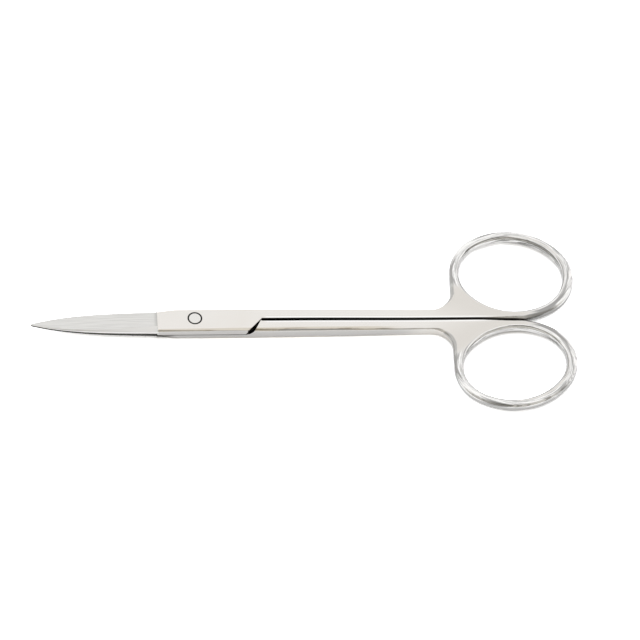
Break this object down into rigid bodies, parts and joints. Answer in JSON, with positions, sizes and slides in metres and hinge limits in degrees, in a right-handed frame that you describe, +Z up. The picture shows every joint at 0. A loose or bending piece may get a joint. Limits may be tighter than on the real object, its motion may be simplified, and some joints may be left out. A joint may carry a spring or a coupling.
{
  "type": "first aid scissors",
  "caption": "Fine-point straight scissors with slender polished steel blades, a lap joint on a slotted screw, straight shanks and oval finger rings.",
  "frame": {"origin": "middle of the bounding box in plan, on the plane the closed scissors rest on", "axes": "+X from the points to the finger rings along the centre line, +Z up out of the outer face of the top half, +Y towards the top half's finger ring"},
  "size_m": [0.115, 0.0452, 0.003],
  "materials": {
    "polished_steel": "polished stainless steel, satin on the ground blade faces",
    "screw_steel": "turned stainless steel, end finished flush"
  },
  "bodies": {
    "lower": {"bottom_half": "polished_steel"},
    "upper": {"top_half": "polished_steel", "pivot_screw": "screw_steel"}
  },
  "joints": [
    {"name": "scissor_pivot", "type": "hinge", "parent": "lower", "child": "upper", "pos_m": [-0.02289, 0.0004, 0.0015], "axis": [0, 0, 1], "range_deg": [0, 148]}
  ]
}
